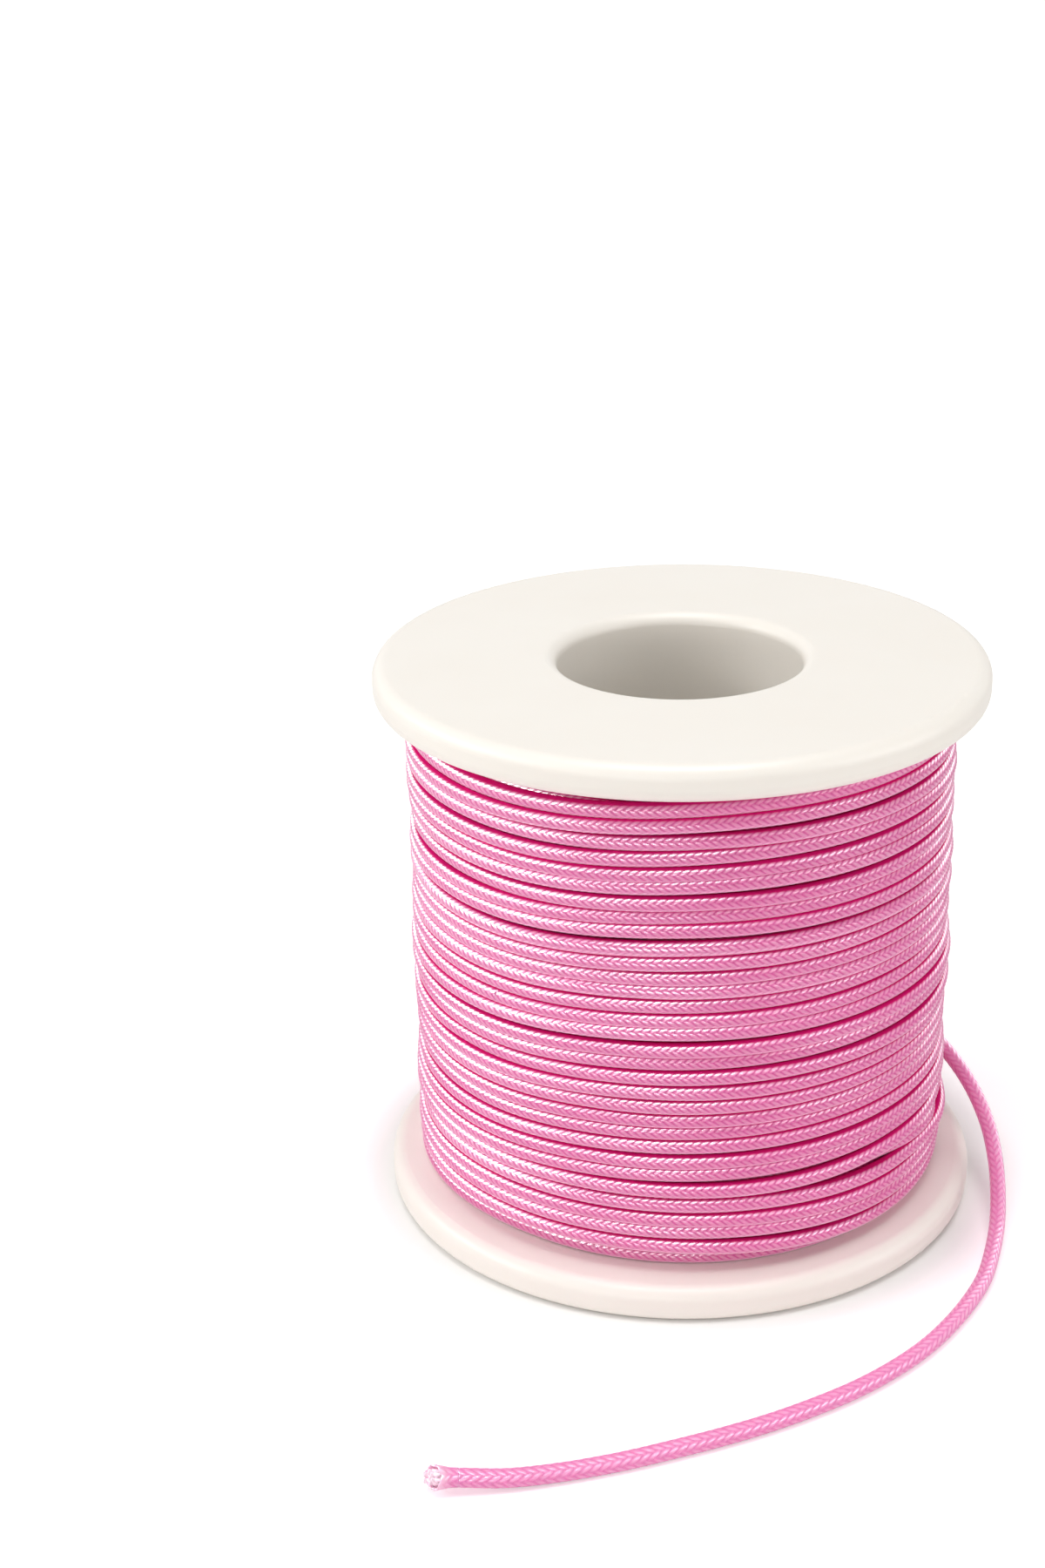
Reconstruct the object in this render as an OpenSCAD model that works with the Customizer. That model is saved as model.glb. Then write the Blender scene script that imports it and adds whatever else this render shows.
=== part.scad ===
// Spool of braided cord, standing upright with its loose end laid out in front of it.
// Two flanges are pushed into a core tube, the cord is wound on the tube in nested layers,
// and the end of the outer layer comes off the side of the winding.
// Origin: centre of the lower flange's base. +Z: up, along the axis of the spool.

/* [Flanges] */
// Outer diameter of a flange
flange_d = 60; // [57:1:90]
// Thickness of a flange
flange_t = 3.6; // [3:0.1:6]
// Rounding of a flange's two outer edges
rim_r = 1.35; // [0.4:0.05:1.45]
// Diameter of the spindle bore
bore_d = 24; // [16:0.5:27]
// Rounding of the bore's two mouths
mouth_r = 1.2; // [0.4:0.1:2.4]

/* [Core] */
// Distance between the two flanges
winding_w = 49.6; // [40:0.2:80]
// Wall of the sleeve that each flange pushes into the core tube
sleeve_wall = 1.2; // [1:0.1:2]
// Length of a sleeve
sleeve_len = 12; // [6:0.5:18]
// Height and width of the chamfer on a sleeve's free end
sleeve_chamfer = 0.6; // [0.2:0.1:0.9]
// Crush ribs around a sleeve
rib_count = 8; // [4:1:16]
// Radius of a crush rib's round back
rib_r = 0.5; // [0.3:0.05:0.8]
// Radial clearance between a sleeve and the core tube
sleeve_fit = 0.2; // [0.1:0.05:0.4]
// Radial clearance between the crush ribs and the core tube
rib_fit = 0.03; // [0.01:0.01:0.08]
// Wall of the core tube
tube_wall = 1; // [0.8:0.1:3]

/* [Starter tape] */
// Thickness of the tape that holds the inner end of the cord on the tube
tape_t = 0.14; // [0.08:0.02:0.3]
// Width of the tape, along the axis
tape_w = 15; // [8:1:30]
// Length of the tape, as an angle around the tube
tape_arc = 70; // [20:5:180]
// Clearance on either face of the tape
tape_fit = 0.03; // [0.01:0.01:0.06]

/* [Cord] */
// Diameter of the cord in the winding
cord_d = 1.5; // [1:0.05:1.6]
// Layers of cord on the tube
layers = 9; // [5:1:10]
// Clearance between the winding and each flange
side_gap = 0.1; // [0.05:0.05:0.3]
// Clearance between each layer and the one it nests in
layer_gap = 0.05; // [0.02:0.01:0.1]

/* [Loose end] */
// Diameter of the cord where nothing presses it
loose_d = 1.6; // [1.2:0.05:1.7]
// Length of the cut tip
tip_len = 2.2; // [1.4:0.1:3]
// Diameter that the braid flares to at the cut
tip_d = 2.2; // [1.8:0.05:2.4]
// Rounding of the cut tip's edge
tip_r = 0.25; // [0.1:0.05:0.4]

/* [Hidden] */
$fn = 96;

plastic = "#F4F1EB";
tube_plastic = "#E9E3DA";
tape_film = "#E8DDB9";
cord_pink = "#EE8EC0";
inner_pink = "#DE72AA";
cut_white = "#F6D9E6";

// Radii of the spool, from the bore outwards
bore_r = bore_d / 2;
flange_r = flange_d / 2;
sleeve_r = bore_r + sleeve_wall;
tube_inner_r = sleeve_r + sleeve_fit;
core_r = tube_inner_r + tube_wall;

// Heights of the spool
height = winding_w + 2 * flange_t;

// Turns: an odd layer fills the width, and an even one lies in its grooves with one turn fewer
span = winding_w - cord_d - 2 * side_gap;
turns = ceil(span / cord_d) + 1;
turn_pitch = span / (turns - 1);

// A covered turn is pressed into a hexagon with its points inwards and outwards
hex_r = turn_pitch / sqrt(3);
first_layer_r = core_r + tape_t + 2 * tape_fit + hex_r;
layer_step = 1.5 * hex_r + layer_gap;
// The outer layer's turns stay round, and lie between the points of the layer below
groove_rise = hex_r / 2 + (cord_d / 2 + layer_gap) / cos(30);

// Half of one turn's outline, as steps along the axis and out from the turn's centre line
pressed_rib = [[-turn_pitch / 2, hex_r / 2], [0, hex_r]];
round_rib = [for (a = [-75 : 25 : 75]) cord_d / 2 * [sin(a), cos(a)]];

// Centre line of the loose end: off the side of the winding, down, and round on the table
tail_route = [
    [22.25, 16.8, 11.3], [24.75, 12.85, 11.1], [27.0, 8.95, 10.5], [29.1, 5.1, 9.4],
    [30.7, 1.3, 8.0], [31.8, -2.5, 6.2], [32.2, -6.4, 4.5], [32.1, -10.4, 3.0],
    [31.6, -14.5, 1.8], [30.7, -18.6, 1.25], [29.5, -22.7, 0.95], [27.7, -26.7, 0.9],
    [25.5, -30.5, 0.85], [22.9, -34.2, 0.85], [19.8, -37.6, 0.85], [16.3, -40.7, 0.85],
    [12.5, -43.4, 0.85], [8.4, -45.9, 0.85], [4.1, -48.1, 0.85], [-0.4, -50.1, 0.85],
    [-5.1, -52.0, 0.85], [-10.0, -53.6, 0.9], [-14.6, -54.8, 1.1], [-18.8, -55.4, 1.5]
];
tail_sides = 8;
rings_per_leg = 2;

function layer_name(i) = str("cord_layer_", i);

function layer_r(i) =
    i < layers ? first_layer_r + (i - 1) * layer_step : layer_r(i - 1) + groove_rise;

// Point on the smooth curve through the route, t legs from its start
function route_point(route, t) =
    let (
        last = len(route) - 1,
        k = min(floor(t), last - 1),
        u = t - k,
        b = route[k],
        c = route[k + 1],
        a = k > 0 ? route[k - 1] : 2 * b - c,
        d = k < last - 1 ? route[k + 2] : 2 * c - b
    )
    (2 * b + (c - a) * u + (2 * a - 5 * b + 4 * c - d) * u * u
        + (3 * b - a - 3 * c + d) * u * u * u) / 2;

function unit(v) = v / norm(v);

// Direction of a chain of points at its point i
function heading(points, i) =
    unit(points[min(i + 1, len(points) - 1)] - points[max(i - 1, 0)]);

// Corners of the ring around point i, upright and square to the chain
function ring(points, i, r, sides) =
    let (
        along = heading(points, i),
        across = unit(cross(along, [0, 0, 1])),
        up = cross(across, along)
    )
    [for (k = [0 : sides - 1]) points[i] + r * (cos(360 * k / sides) * across + sin(360 * k / sides) * up)];

// Solid tube along a chain of points
module tube_along(points, r, sides) {
    count = len(points);
    corners = [for (i = [0 : count - 1]) each ring(points, i, r, sides)];
    walls = [
        for (i = [0 : count - 2], k = [0 : sides - 1])
            let (n = (k + 1) % sides)
            [i * sides + k, (i + 1) * sides + k, (i + 1) * sides + n, i * sides + n]
    ];
    start_cap = [for (k = [0 : sides - 1]) k];
    end_cap = [for (k = [sides - 1 : -1 : 0]) (count - 1) * sides + k];
    polyhedron(points = corners, faces = concat([start_cap], walls, [end_cap]));
}

// Section of a flange: a flat ring with a round rim and, on the outer face, a round mouth
module flange_section() {
    translate([bore_r + mouth_r, 0])
        square([flange_r - rim_r - bore_r - mouth_r, flange_t]);
    translate([bore_r, mouth_r])
        square([mouth_r, flange_t - mouth_r]);
    translate([bore_r + mouth_r, mouth_r])
        circle(r = mouth_r);
    translate([flange_r - rim_r, rim_r])
        square([rim_r, flange_t - 2 * rim_r]);
    for (z = [rim_r, flange_t - rim_r])
        translate([flange_r - rim_r, z])
            circle(r = rim_r);
}

// Section of the sleeve, with a chamfer that leads it into the tube
module sleeve_section() {
    top = flange_t + sleeve_len;
    polygon([
        [bore_r, flange_t], [sleeve_r, flange_t], [sleeve_r, top - sleeve_chamfer],
        [sleeve_r - sleeve_chamfer, top], [bore_r, top]
    ]);
}

// One flange, outer face down on z = 0
module flange() {
    color(plastic) {
        rotate_extrude() {
            flange_section();
            sleeve_section();
        }
        for (k = [0 : rib_count - 1])
            rotate(k * 360 / rib_count)
                translate([tube_inner_r - rib_fit - rib_r, 0, flange_t])
                    cylinder(r = rib_r, h = sleeve_len - 2 * sleeve_chamfer);
    }
}

module lower_flange() {
    flange();
}

module upper_flange() {
    translate([0, 0, height])
        mirror([0, 0, 1])
            flange();
}

// Tube between the flanges, end faces on their inner faces
module core_tube() {
    color(tube_plastic)
        translate([0, 0, flange_t])
            difference() {
                cylinder(r = core_r, h = winding_w);
                translate([0, 0, -1])
                    cylinder(r = tube_inner_r, h = winding_w + 2);
            }
}

// Strip of tape around part of the tube, where the winding starts
module starter_tape() {
    color(tape_film)
        rotate_extrude(angle = tape_arc)
            translate([core_r + tape_fit, flange_t + side_gap])
                square([tape_t, tape_w]);
}

// Layer i of the winding, counted from the tube: the outer layer round, the others pressed
module cord_layer(i) {
    nested = i % 2 == 0;
    count = nested ? turns - 1 : turns;
    start = flange_t + side_gap + cord_d / 2 + (nested ? turn_pitch / 2 : 0);
    rib = i < layers ? pressed_rib : round_rib;
    // The first step of the next rib closes the last one
    side = [
        for (k = [0 : count - 1], step = rib) [step[1], start + k * turn_pitch + step[0]],
        if (i < layers) [rib[0][1], start + count * turn_pitch + rib[0][0]]
    ];
    last = len(side) - 1;
    outline = concat(
        [for (k = [0 : last]) [layer_r(i) + side[k][0], side[k][1]]],
        [for (k = [last : -1 : 0]) [layer_r(i) - side[k][0], side[k][1]]]
    );
    color(i == layers ? cord_pink : inner_pink)
        rotate_extrude()
            polygon(outline);
}

// Free stretch of the cord, from the side of the winding to the cut tip
module loose_end() {
    legs = len(tail_route) - 1;
    points = [for (i = [0 : legs * rings_per_leg]) route_point(tail_route, i / rings_per_leg)];
    color(cord_pink)
        tube_along(points, loose_d / 2, tail_sides);
}

// Cut end of the cord, where the braid opens and shows its core
module cut_tip() {
    legs = len(tail_route) - 1;
    end = tail_route[legs];
    along = unit(end - route_point(tail_route, legs - 1 / rings_per_leg));
    color(cut_white)
        translate(end)
            rotate([0, acos(along[2]), atan2(along[1], along[0])])
                rotate_extrude() {
                    polygon([
                        [0, 0], [loose_d / 2, 0], [tip_d / 2, tip_len - tip_r],
                        [tip_d / 2 - tip_r, tip_len], [0, tip_len]
                    ]);
                    translate([tip_d / 2 - tip_r, tip_len - tip_r])
                        intersection() {
                            circle(r = tip_r);
                            square(tip_r);
                        }
                }
}

upper_flange();
lower_flange();
core_tube();
starter_tape();
for (i = [1 : layers])
    cord_layer(i);
loose_end();
cut_tip();
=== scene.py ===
"""Looks of a flanged spool of braided cord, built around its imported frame.

The classes work in millimetres, and a mesh is scaled to metres as it is written.
"""
import logging
import math
from dataclasses import dataclass, field
from enum import Enum

import bpy
import numpy as np
from mathutils import Matrix, Vector


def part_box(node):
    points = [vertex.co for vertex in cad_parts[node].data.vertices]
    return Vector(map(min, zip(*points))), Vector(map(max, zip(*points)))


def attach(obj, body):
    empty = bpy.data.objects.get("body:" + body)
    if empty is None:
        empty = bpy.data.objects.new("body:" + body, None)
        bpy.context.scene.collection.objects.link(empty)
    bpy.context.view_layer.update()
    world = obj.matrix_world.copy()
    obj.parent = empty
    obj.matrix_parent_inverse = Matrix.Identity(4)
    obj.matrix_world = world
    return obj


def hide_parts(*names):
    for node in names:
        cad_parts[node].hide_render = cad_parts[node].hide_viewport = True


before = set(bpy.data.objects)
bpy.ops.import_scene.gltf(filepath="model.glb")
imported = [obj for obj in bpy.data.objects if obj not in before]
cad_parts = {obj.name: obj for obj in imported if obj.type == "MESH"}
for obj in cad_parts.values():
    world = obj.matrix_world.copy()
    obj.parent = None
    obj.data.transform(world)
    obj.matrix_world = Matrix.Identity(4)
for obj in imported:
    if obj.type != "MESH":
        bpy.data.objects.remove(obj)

log = logging.getLogger("spool")

MM = 0.001
BODY = "root"
FULL_TURN = 2 * math.pi

Inputs = dict | list | tuple
Material = bpy.types.Material
Node = bpy.types.Node
Object = bpy.types.Object
Socket = bpy.types.NodeSocket
Tree = bpy.types.NodeTree


# --- Small tools -------------------------------------------------------------------------------


def linear(hex_colour: str) -> tuple[float, float, float, float]:
    """Turns an sRGB hex colour into the linear colour that a shader takes.

    Args:
        hex_colour: Six hex digits after a hash sign.

    Returns:
        Linear red, green and blue, and an alpha of 1.
    """
    parts = [int(hex_colour[i:i + 2], 16) / 255 for i in (1, 3, 5)]
    tones = [c / 12.92 if c <= 0.04045 else ((c + 0.055) / 1.055) ** 2.4 for c in parts]
    return (*tones, 1.0)


def add_node(tree: Tree, kind: str, inputs: Inputs = (), **settings) -> Node:
    """Adds one node with its settings and links.

    Args:
        tree: Node tree of the material or the world.
        kind: Blender's type name of the node, without its ShaderNode.
        inputs: Value, socket or node for each input, by name or in order.
        **settings: Properties of the node itself.

    Returns:
        The new node.
    """
    node = tree.nodes.new(f"ShaderNode{kind}")
    for name, value in settings.items():
        setattr(node, name, value)
    pairs = inputs.items() if isinstance(inputs, dict) else enumerate(inputs)
    for key, value in pairs:
        if isinstance(value, Node):
            value = value.outputs[0]
        if isinstance(value, Socket):
            tree.links.new(value, node.inputs[key])
        else:
            node.inputs[key].default_value = value
    return node


def new_material(name: str) -> tuple[Material, Tree]:
    """Makes a material with an empty node tree.

    Args:
        name: Name of the material.

    Returns:
        The material and its tree.
    """
    material = bpy.data.materials.new(name)
    material.use_nodes = True
    material.node_tree.nodes.clear()
    return material, material.node_tree


def smooth_step(values: np.ndarray, start: float, end: float) -> np.ndarray:
    """Rises smoothly from 0 at start to 1 at end."""
    t = np.clip((values - start) / (end - start), 0, 1)
    return t * t * (3 - 2 * t)


def wander(rng: np.random.Generator, count: int, reach: float) -> np.ndarray:
    """Makes a smooth random line of unit spread.

    Args:
        rng: Seeded source of the line.
        count: Number of samples.
        reach: Samples over which the line forgets itself.

    Returns:
        The line's values.
    """
    pad = 4 * int(reach)
    steps = np.arange(-3 * int(reach), 3 * int(reach) + 1)
    bell = np.exp(-steps ** 2 / (2 * reach ** 2))
    bell /= math.sqrt((bell ** 2).sum())
    return np.convolve(rng.standard_normal(count + 2 * pad), bell, "same")[pad:pad + count]


def unit(vectors: np.ndarray) -> np.ndarray:
    """Scales each row to length 1."""
    return vectors / np.linalg.norm(vectors, axis=-1, keepdims=True)


def run_along(points: np.ndarray) -> np.ndarray:
    """Length along a chain from its first point to each one."""
    return np.concatenate([[0], np.cumsum(np.linalg.norm(np.diff(points, axis=0), axis=1))])


def round_axis(radius: np.ndarray, angle: np.ndarray, height: np.ndarray) -> np.ndarray:
    """Points from their distance to the Z axis, their angle around it and their height."""
    return np.stack([radius * np.cos(angle), radius * np.sin(angle), height], -1)


def spans(node: str) -> tuple[np.ndarray, np.ndarray]:
    """Lowest and highest corners of a frame node, in millimetres."""
    low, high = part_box(node)
    return np.array(low) / MM, np.array(high) / MM


def redress(name: str, finish: Material) -> None:
    """Gives a frame node another material.

    Args:
        name: Name of the node.
        finish: The material.
    """
    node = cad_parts[name]
    node.data.materials.clear()
    node.data.materials.append(finish)
    log.info("%s: %s", name, finish.name)


def dress(piece: Object, finish: Material, slot: str, *nodes: str) -> None:
    """Gives a new piece its finish, its body and the nodes that it stands for.

    Args:
        piece: The finished piece.
        finish: Its material.
        slot: Name of a material slot; not used.
        *nodes: CAD nodes that it replaces.
    """
    piece.data.materials.clear()
    piece.data.materials.append(finish)
    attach(piece, BODY)
    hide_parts(*nodes)
    log.info("%s: %d faces, %s", piece.name, len(piece.data.polygons), finish.name)


def tube(name: str, corners: np.ndarray, stitches: np.ndarray, columns: np.ndarray,
         around: int) -> Object:
    """Writes a closed tube, with the place on the braid as its UV.

    Args:
        name: Name of the object.
        corners: Corners in millimetres, by ring and side.
        stitches: Braid phase of each ring, in stitches.
        columns: Place of each side around the cord, in columns, rising.
        around: Columns in a full turn.

    Returns:
        The tube's object, smooth all over.
    """
    rings, sides = corners.shape[:2]
    ring, side = np.meshgrid(np.arange(rings - 1), np.arange(sides), indexing="ij")
    after = (side + 1) % sides
    quads = np.stack([ring * sides + side, ring * sides + after,
                      (ring + 1) * sides + after, (ring + 1) * sides + side], -1).reshape(-1)
    caps = [np.arange(sides)[::-1], (rings - 1) * sides + np.arange(sides)]
    here, there = stitches[:-1][ring], stitches[1:][ring]
    left, right = columns[side], np.append(columns, columns[0] + around)[side + 1]
    walls = np.stack([here, left, here, right, there, right, there, left], -1).reshape(-1, 2)
    ends = [np.stack([np.full(sides, stitches[i]), columns], -1) for i in (0, -1)]
    loops = np.concatenate([quads, *caps])
    sizes = np.append(np.full(len(quads) // 4, 4), [sides, sides])
    mesh = bpy.data.meshes.new(name)
    mesh.vertices.add(rings * sides)
    mesh.vertices.foreach_set("co", (corners * MM).astype(np.float32).ravel())
    mesh.loops.add(len(loops))
    mesh.loops.foreach_set("vertex_index", loops.astype(np.int32))
    mesh.polygons.add(len(sizes))
    starts = np.concatenate([[0], np.cumsum(sizes)[:-1]])
    mesh.polygons.foreach_set("loop_start", starts.astype(np.int32))
    mesh.polygons.foreach_set("use_smooth", np.ones(len(sizes), bool))
    layer = mesh.uv_layers.new(name="UVMap")
    layer.data.foreach_set("uv", np.concatenate([walls, *ends]).astype(np.float32).ravel())
    mesh.update(calc_edges=True)
    mesh.validate()
    piece = bpy.data.objects.new(name, mesh)
    bpy.context.scene.collection.objects.link(piece)
    return piece


# --- The braid ---------------------------------------------------------------------------------


@dataclass(frozen=True)
class Braid:
    """Round braid of sixteen tows, each passing over two and under two.

    A place on it is given in stitches along the cord and in columns around it. The tows that
    wind one way lie on top in the even columns, and those that wind the other way in the odd
    ones, so each column is a row of slanted floats, one to a stitch.

    Attributes:
        diameter: Diameter over the tows in the winding, in millimetres.
        stitch: Length of a stitch in the winding, in millimetres.
        columns: Columns in a full turn.
        tow_bow: Height of a tow's back above its edges, in millimetres.
        tow_lift: Height by which a tow rises where it lies on top, in millimetres.
        tow_half: Half the width of a tow, as a share of the distance between two.
    """

    diameter: float = 1.56
    stitch: float = 0.76
    columns: int = 8
    tow_bow: float = 0.03
    tow_lift: float = 0.016
    tow_half: float = 0.5

    @property
    def core(self) -> float:
        """Radius beneath the tows."""
        return self.diameter / 2 - self.tow_bow - 2 * self.tow_lift

    def relief(self, stitches: np.ndarray, columns: np.ndarray) -> np.ndarray:
        """Gives the height of the tows above the core.

        Args:
            stitches: Place along the cord, in stitches.
            columns: Place around the cord, in columns.

        Returns:
            Height in millimetres.
        """
        over = self.tow_lift * np.cos(math.pi * columns)
        heights = []
        for hand, start in ((-1, 0), (1, 0.5)):
            line = columns + hand * stitches + start
            offset = (line - np.round(line)) / self.tow_half
            heights.append(self.tow_bow * (1 - offset ** 2) - hand * over)
        return np.maximum(*heights) + self.tow_lift


@dataclass
class CordLine:
    """A stretch of cord as a chain of rings.

    Attributes:
        points: Centre of each ring, in millimetres.
        outward: Direction of column 0 at each ring.
        stitches: Braid phase of each ring, in stitches.
    """

    points: np.ndarray
    outward: np.ndarray
    stitches: np.ndarray

    def rows(self, rows: np.ndarray) -> "CordLine":
        """Gives the rings with these numbers."""
        return CordLine(self.points[rows], self.outward[rows], self.stitches[rows])

    def length(self) -> float:
        """Length of the chain in millimetres."""
        return float(run_along(self.points)[-1])

    def sweep(self, name: str, braid: Braid, columns: np.ndarray,
              swell: np.ndarray | None = None) -> Object:
        """Builds a closed tube with the braid's relief around the chain.

        Args:
            name: Name of the object.
            braid: Braid of the cord.
            columns: Places around a ring where it has corners, in columns, rising.
            swell: Radius that each ring has above the braid's own, in millimetres.

        Returns:
            The tube's object.
        """
        along = unit(np.gradient(self.points, axis=0))
        outward = unit(self.outward - along * (self.outward * along).sum(1, keepdims=True))
        across = np.cross(along, outward)
        angle = columns * FULL_TURN / braid.columns
        radius = braid.core + braid.relief(self.stitches[:, None], columns[None, :])
        if swell is not None:
            radius = radius + swell[:, None]
        reach = (np.cos(angle)[None, :, None] * outward[:, None]
                 + np.sin(angle)[None, :, None] * across[:, None])
        corners = self.points[:, None] + radius[..., None] * reach
        return tube(name, corners, self.stitches, columns, braid.columns)


# --- The winding -------------------------------------------------------------------------------


class Cover(Enum):
    """How many rings of a stretch of the winding one modelled ring stands for."""

    SEEN = 1
    HIDDEN = 3


@dataclass
class Winding:
    """The last passes of cord, relaxed until every turn lies on the ones beneath.

    The traverse starts at the leaving height, runs down to the lower flange, up to the upper
    one and down again to the leaving height. Lengths are in millimetres.

    Attributes:
        low: Height of the lower flange's inner face.
        high: Height of the upper flange's inner face.
        bed: Radius of the layer that the first of these passes lies on.
        leaving: Azimuth, radius and height at which the loose end starts.
        braid: Braid of the cord.
        seed: Seed of the unevenness; the twist and the slack take the two after it.
        samples: Samples in a turn.
        pitches: Height gained in a turn by each of the three passes. The second one brings its
            turns, below the leaving height, in step with those of the last pass.
        spacing: Distance at which two turns touch.
        bedding: Depth to which the first pass sinks between the turns beneath.
        bumps: Unevenness of the layer beneath, and the turns over which it changes.
        nesting: Share of the spacing by which a pass lies above the one before.
        drop: Height above its bed from which the cord is let down.
        side_gap: Clearance to a flange.
        sways: How far the traverse strays from its pitch, and over how many turns.
        slack: How far a soft turn strays along the axis and outwards, beyond what contact allows.
        slack_turns: Turns over which it does.
        rounds: Rounds of relaxing.
        stiffness: Share of the way to a straight run that a sample moves in a round.
        stiff_samples: Samples to either side that the straight run takes in.
        tension: Inward pull in a round.
        reach: Distance, in spacings, up to which two turns may come to touch.
        give: Share of an overlap that each of two turns gives way by.
        lift_turns: Turns over which the cord rises to where it leaves.
        twist: Spread of the cord's twist, in degrees, and the length over which it changes.
        untwisted: Length before the leaving place over which the twist dies out.
        overlap: Height above the leaving height up to which the second pass is seen.
        beside: Turns before each flange that can be seen beside those that cover them.
        rings_per_stitch: Rings of the tube to a stitch.
        outer_pieces: Pieces that the last pass is made in.
        floor: Least radius of each sample, where the layer beneath stops it.
    """

    low: float
    high: float
    bed: float
    leaving: tuple[float, float, float]
    braid: Braid = field(default_factory=Braid)
    seed: int = 35
    samples: int = 240
    pitches: tuple[float, float, float] = (1.51, 1.504, 1.482)
    spacing: float = 1.47
    bedding: float = 0.3
    bumps: tuple[float, float] = (0.11, 0.09)
    nesting: float = 0.92
    drop: float = 0.1
    side_gap: float = 0.05
    sways: tuple = ((0.18, 0.2), (0.24, 0.7))
    slack: tuple[float, float] = (0.06, 0.05)
    slack_turns: float = 0.08
    rounds: int = 120
    stiffness: float = 0.5
    stiff_samples: int = 6
    tension: float = 0.02
    reach: float = 2.5
    give: float = 0.45
    lift_turns: float = 0.11
    twist: tuple[float, float] = (5.0, 60.0)
    untwisted: float = 20.0
    overlap: float = 4.0
    beside: float = 1.5
    rings_per_stitch: int = 4
    outer_pieces: int = 7
    floor: np.ndarray = field(init=False)

    def clear_of_flanges(self, height: np.ndarray) -> np.ndarray:
        """Keeps the cord's middle half a cord and a clearance away from both flanges."""
        edge = self.braid.diameter / 2 + self.side_gap
        return np.clip(height, self.low + edge, self.high - edge)

    def lay(self) -> tuple[np.ndarray, np.ndarray, np.ndarray]:
        """Places the traverse before it is relaxed.

        Returns:
            Height and radius of each sample along the cord, and the samples that end a pass.
        """
        rng = np.random.default_rng(self.seed)
        bottom, top = self.clear_of_flanges(np.array([self.low, self.high]))
        leave = self.leaving[2]
        stops = [leave, bottom, top, leave]
        heights, levels = [], []
        for number, pitch in enumerate(self.pitches):
            start, end = stops[number], stops[number + 1]
            count = int(round(abs(end - start) / pitch * self.samples))
            run = np.linspace(start, end, count, endpoint=False)
            heights.append(run)
            # Above the leaving height the second pass has no first one beneath it
            beneath = 1 - smooth_step(run, leave - 1, leave + 1) if number == 1 else number / 2
            levels.append(np.broadcast_to(beneath, run.shape))
        ends = np.cumsum([len(run) for run in heights])
        height, level = np.concatenate(heights), np.concatenate(levels)
        count = len(height)
        for sway, turns in self.sways:
            height = height + sway * wander(rng, count, turns * self.samples)
        bump, turns = self.bumps
        bed = self.bed + self.braid.diameter / 2 - self.bedding
        self.floor = bed + bump * wander(rng, count, turns * self.samples)
        lift = self.nesting * self.spacing * level + self.drop
        return self.clear_of_flanges(height), self.floor + lift, ends

    def straighten(self, values: np.ndarray) -> None:
        """Moves each sample towards the mean of those around it, as a stiff cord does.

        Args:
            values: Height or radius of each sample along the cord.
        """
        width = 2 * self.stiff_samples + 1
        padded = np.pad(values, self.stiff_samples, "edge")
        total = np.cumsum(np.concatenate([[0], padded]))
        mean = (total[width:] - total[:-width]) / width
        values += self.stiffness * (mean - values)

    def part(self, turn: np.ndarray, first: np.ndarray, second: np.ndarray) -> None:
        """Pushes turns apart where they come closer than the spacing.

        Args:
            turn: Height and radius of each sample, by turn.
            first: Turn of each pair that may touch.
            second: The other turn of each pair.
        """
        gap = turn[:, second] - turn[:, first]
        distance = np.sqrt((gap ** 2).sum(0)) + 1e-9
        push = self.give * np.maximum(self.spacing - distance, 0) / distance
        shift, touching = np.zeros_like(turn), np.zeros(turn.shape[1:])
        for index, sign in ((first, -1), (second, 1)):
            np.add.at(shift, (slice(None), index), sign * push * gap)
            np.add.at(touching, index, push > 0)
        turn += shift / np.maximum(touching / 2, 1)

    def relax(self) -> tuple[np.ndarray, np.ndarray, np.ndarray]:
        """Lets tension, stiffness and contact settle the turns.

        Returns:
            Height and radius of each sample along the cord, and the samples that end a pass.
        """
        height, radius, ends = self.lay()
        count, per_turn = len(height), self.samples
        turns = math.ceil(count / per_turn)
        spare = turns * per_turn - count
        # The samples that fill up the first turn lie too far off to touch any other
        grid = np.full((2, turns * per_turn), 1e4)
        grid[:, spare:] = height, radius
        live = grid[:, spare:]
        middle = grid[0].reshape(turns, per_turn).mean(1)
        middle[0] = middle[1]
        near = np.abs(middle[:, None] - middle[None, :]) < self.reach * self.spacing
        near |= np.eye(turns, k=1, dtype=bool)
        first, second = np.nonzero(np.triu(near, 1))
        for _ in range(self.rounds):
            for values in live:
                self.straighten(values)
            live[1] -= self.tension
            for _ in range(2):
                self.part(grid.reshape(2, turns, per_turn), first, second)
                live[0] = self.clear_of_flanges(live[0])
                live[1] = np.maximum(live[1], self.floor)
        # Soft turns press into one another, so each strays a little further than contact allows
        rng = np.random.default_rng(self.seed + 2)
        height, radius = (values + amount * wander(rng, count, self.slack_turns * per_turn)
                          for values, amount in zip(live, self.slack))
        return self.clear_of_flanges(height), radius, ends

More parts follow.
